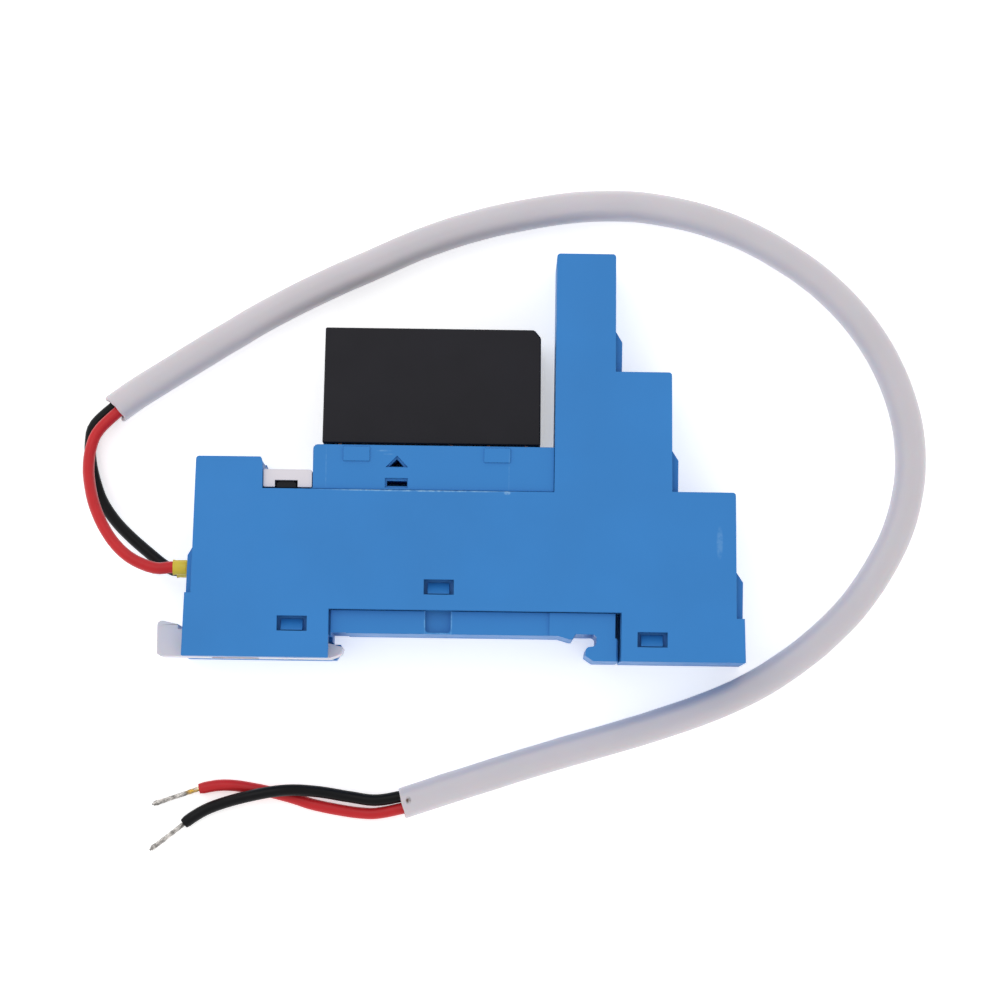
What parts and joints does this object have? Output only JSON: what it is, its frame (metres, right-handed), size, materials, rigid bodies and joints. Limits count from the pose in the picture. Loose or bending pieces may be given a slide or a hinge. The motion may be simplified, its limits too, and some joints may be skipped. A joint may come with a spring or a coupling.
{
  "type": "industrial control relay",
  "caption": "Slim DIN-rail relay socket with a plug-in power relay, stepped screw terminals, a sprung rail clip, a marker tag and a sheathed two-core coil lead.",
  "frame": {"origin": "middle of the resting side face, 39.25 mm from the socket's left end and 27.15 mm above its rail foot, which is 0.1 mm from the middle of its box without the lead", "axes": "+X along the rail seat from the pull clip towards the contact terminals, +Y up from the rail to the screw heads, +Z through the socket's thickness; the socket lies on its side"},
  "size_m": [0.1152, 0.0914, 0.0158],
  "materials": {
    "blue_plastic": "moulded satin blue polyamide",
    "white_plastic": "moulded white plastic",
    "natural_nylon": "translucent natural nylon",
    "black_plastic": "moulded satin black plastic",
    "bobbin_plastic": "moulded brown plastic",
    "zinc_steel": "zinc plated steel",
    "tinned_brass": "tinned brass strip",
    "copper_alloy": "copper alloy",
    "soft_iron": "plated soft iron",
    "yellow_collar": "yellow plastic collar on a tinned sleeve",
    "red_insulation": "red soft insulation",
    "black_insulation": "black soft insulation",
    "white_sheath": "white soft sheath",
    "tinned_copper": "twisted tinned strands"
  },
  "bodies": {
    "socket": {"main_housing": "blue_plastic", "front_cover": "blue_plastic", "rear_cover": "blue_plastic", "recess_rib": "black_plastic", "clip_spring": "zinc_steel", "ferrule_red": "yellow_collar", "ferrule_black": "yellow_collar", "contact_a1": "tinned_brass", "contact_a2": "tinned_brass", "contact_12": "tinned_brass", "contact_22": "tinned_brass", "contact_11": "tinned_brass", "contact_21": "tinned_brass", "contact_14": "tinned_brass", "contact_24": "tinned_brass", "cable_sheath": "white_sheath", "red_lead": "red_insulation", "black_lead": "black_insulation", "red_tail": "red_insulation", "black_tail": "black_insulation", "red_tip": "tinned_copper", "black_tip": "tinned_copper"},
    "clip": {"din_clip": "natural_nylon"},
    "tag": {"marker_tag": "white_plastic"},
    "relay": {"relay_case": "black_plastic", "relay_base": "black_plastic", "coil_bobbin": "bobbin_plastic", "coil_winding": "copper_alloy", "coil_core": "soft_iron", "yoke": "soft_iron", "moving_contact_1": "copper_alloy", "moving_contact_2": "copper_alloy", "nc_contact_1": "copper_alloy", "nc_contact_2": "copper_alloy", "no_contact_1": "copper_alloy", "no_contact_2": "copper_alloy", "coil_pin_1": "copper_alloy", "coil_pin_2": "copper_alloy"},
    "armature": {"armature": "soft_iron"},
    "card": {"pusher_card": "bobbin_plastic"},
    "screw_a1": {"screw_a1": "zinc_steel"},
    "clamp_a1": {"clamp_a1": "zinc_steel"},
    "screw_a2": {"screw_a2": "zinc_steel"},
    "clamp_a2": {"clamp_a2": "zinc_steel"},
    "screw_12": {"screw_12": "zinc_steel"},
    "clamp_12": {"clamp_12": "zinc_steel"},
    "screw_22": {"screw_22": "zinc_steel"},
    "clamp_22": {"clamp_22": "zinc_steel"},
    "screw_11": {"screw_11": "zinc_steel"},
    "clamp_11": {"clamp_11": "zinc_steel"},
    "screw_21": {"screw_21": "zinc_steel"},
    "clamp_21": {"clamp_21": "zinc_steel"},
    "screw_14": {"screw_14": "zinc_steel"},
    "clamp_14": {"clamp_14": "zinc_steel"},
    "screw_24": {"screw_24": "zinc_steel"},
    "clamp_24": {"clamp_24": "zinc_steel"}
  },
  "joints": [
    {"name": "clip_pull", "type": "slide", "parent": "socket", "child": "clip", "axis": [-1, 0, 0], "range_m": [0, 0.003], "stiffness_N_per_m": 600, "springref_m": -0.0015, "deforming": ["clip_spring"]},
    {"name": "tag_lift", "type": "slide", "parent": "socket", "child": "tag", "axis": [0, 1, 0], "range_m": [0, 0.006]},
    {"name": "relay_lift", "type": "slide", "parent": "socket", "child": "relay", "axis": [0, 1, 0], "range_m": [0, 0.0048]},
    {"name": "armature_pull", "type": "hinge", "parent": "relay", "child": "armature", "pos_m": [-0.01435, 0.0038, 0.0079], "axis": [0, 0, -1], "range_deg": [0, 4], "stiffness_Nm_per_rad": 0.01, "springref_deg": -5.73},
    {"name": "card_push", "type": "slide", "parent": "relay", "child": "card", "axis": [1, 0, 0], "range_m": [0, 0.0008], "deforming": ["moving_contact_1", "moving_contact_2"]},
    {"name": "screw_a1_turn", "type": "hinge", "parent": "socket", "child": "screw_a1", "pos_m": [-0.02985, -0.00388, 0.0114], "axis": [0, -1, 0], "range_deg": [-865.73, 0]},
    {"name": "clamp_a1_rise", "type": "slide", "parent": "socket", "child": "clamp_a1", "axis": [0, 1, 0], "range_m": [-0.0012, 0]},
    {"name": "screw_a2_turn", "type": "hinge", "parent": "socket", "child": "screw_a2", "pos_m": [-0.02985, -0.00388, 0.0044], "axis": [0, -1, 0], "range_deg": [-865.73, 0]},
    {"name": "clamp_a2_rise", "type": "slide", "parent": "socket", "child": "clamp_a2", "axis": [0, 1, 0], "range_m": [-0.0012, 0]},
    {"name": "screw_12_turn", "type": "hinge", "parent": "socket", "child": "screw_12", "pos_m": [0.03355, -0.00785, 0.0114], "axis": [0, -1, 0], "range_deg": [0, 1587.17]},
    {"name": "clamp_12_rise", "type": "slide", "parent": "socket", "child": "clamp_12", "axis": [0, 1, 0], "range_m": [0, 0.0022]},
    {"name": "screw_22_turn", "type": "hinge", "parent": "socket", "child": "screw_22", "pos_m": [0.03355, -0.00785, 0.0044], "axis": [0, -1, 0], "range_deg": [0, 1587.17]},
    {"name": "clamp_22_rise", "type": "slide", "parent": "socket", "child": "clamp_22", "axis": [0, 1, 0], "range_m": [0, 0.0022]},
    {"name": "screw_11_turn", "type": "hinge", "parent": "socket", "child": "screw_11", "pos_m": [0.02525, 0.00815, 0.0114], "axis": [0, -1, 0], "range_deg": [0, 1587.17]},
    {"name": "clamp_11_rise", "type": "slide", "parent": "socket", "child": "clamp_11", "axis": [0, 1, 0], "range_m": [0, 0.0022]},
    {"name": "screw_21_turn", "type": "hinge", "parent": "socket", "child": "screw_21", "pos_m": [0.02525, 0.00815, 0.0044], "axis": [0, -1, 0], "range_deg": [0, 1587.17]},
    {"name": "clamp_21_rise", "type": "slide", "parent": "socket", "child": "clamp_21", "axis": [0, 1, 0], "range_m": [0, 0.0022]},
    {"name": "screw_14_turn", "type": "hinge", "parent": "socket", "child": "screw_14", "pos_m": [0.01745, 0.02395, 0.0114], "axis": [0, -1, 0], "range_deg": [0, 1587.17]},
    {"name": "clamp_14_rise", "type": "slide", "parent": "socket", "child": "clamp_14", "axis": [0, 1, 0], "range_m": [0, 0.0022]},
    {"name": "screw_24_turn", "type": "hinge", "parent": "socket", "child": "screw_24", "pos_m": [0.01745, 0.02395, 0.0044], "axis": [0, -1, 0], "range_deg": [0, 1587.17]},
    {"name": "clamp_24_rise", "type": "slide", "parent": "socket", "child": "clamp_24", "axis": [0, 1, 0], "range_m": [0, 0.0022]}
  ],
  "couplings": [
    {"joint": "card_push", "follows": "armature_pull", "m_per_rad": 0.0114},
    {"joint": "screw_a1_turn", "follows": "clamp_a1_rise", "rad_per_m": 12566},
    {"joint": "screw_a2_turn", "follows": "clamp_a2_rise", "rad_per_m": 12566},
    {"joint": "screw_12_turn", "follows": "clamp_12_rise", "rad_per_m": 12566},
    {"joint": "screw_22_turn", "follows": "clamp_22_rise", "rad_per_m": 12566},
    {"joint": "screw_11_turn", "follows": "clamp_11_rise", "rad_per_m": 12566},
    {"joint": "screw_21_turn", "follows": "clamp_21_rise", "rad_per_m": 12566},
    {"joint": "screw_14_turn", "follows": "clamp_14_rise", "rad_per_m": 12566},
    {"joint": "screw_24_turn", "follows": "clamp_24_rise", "rad_per_m": 12566}
  ]
}
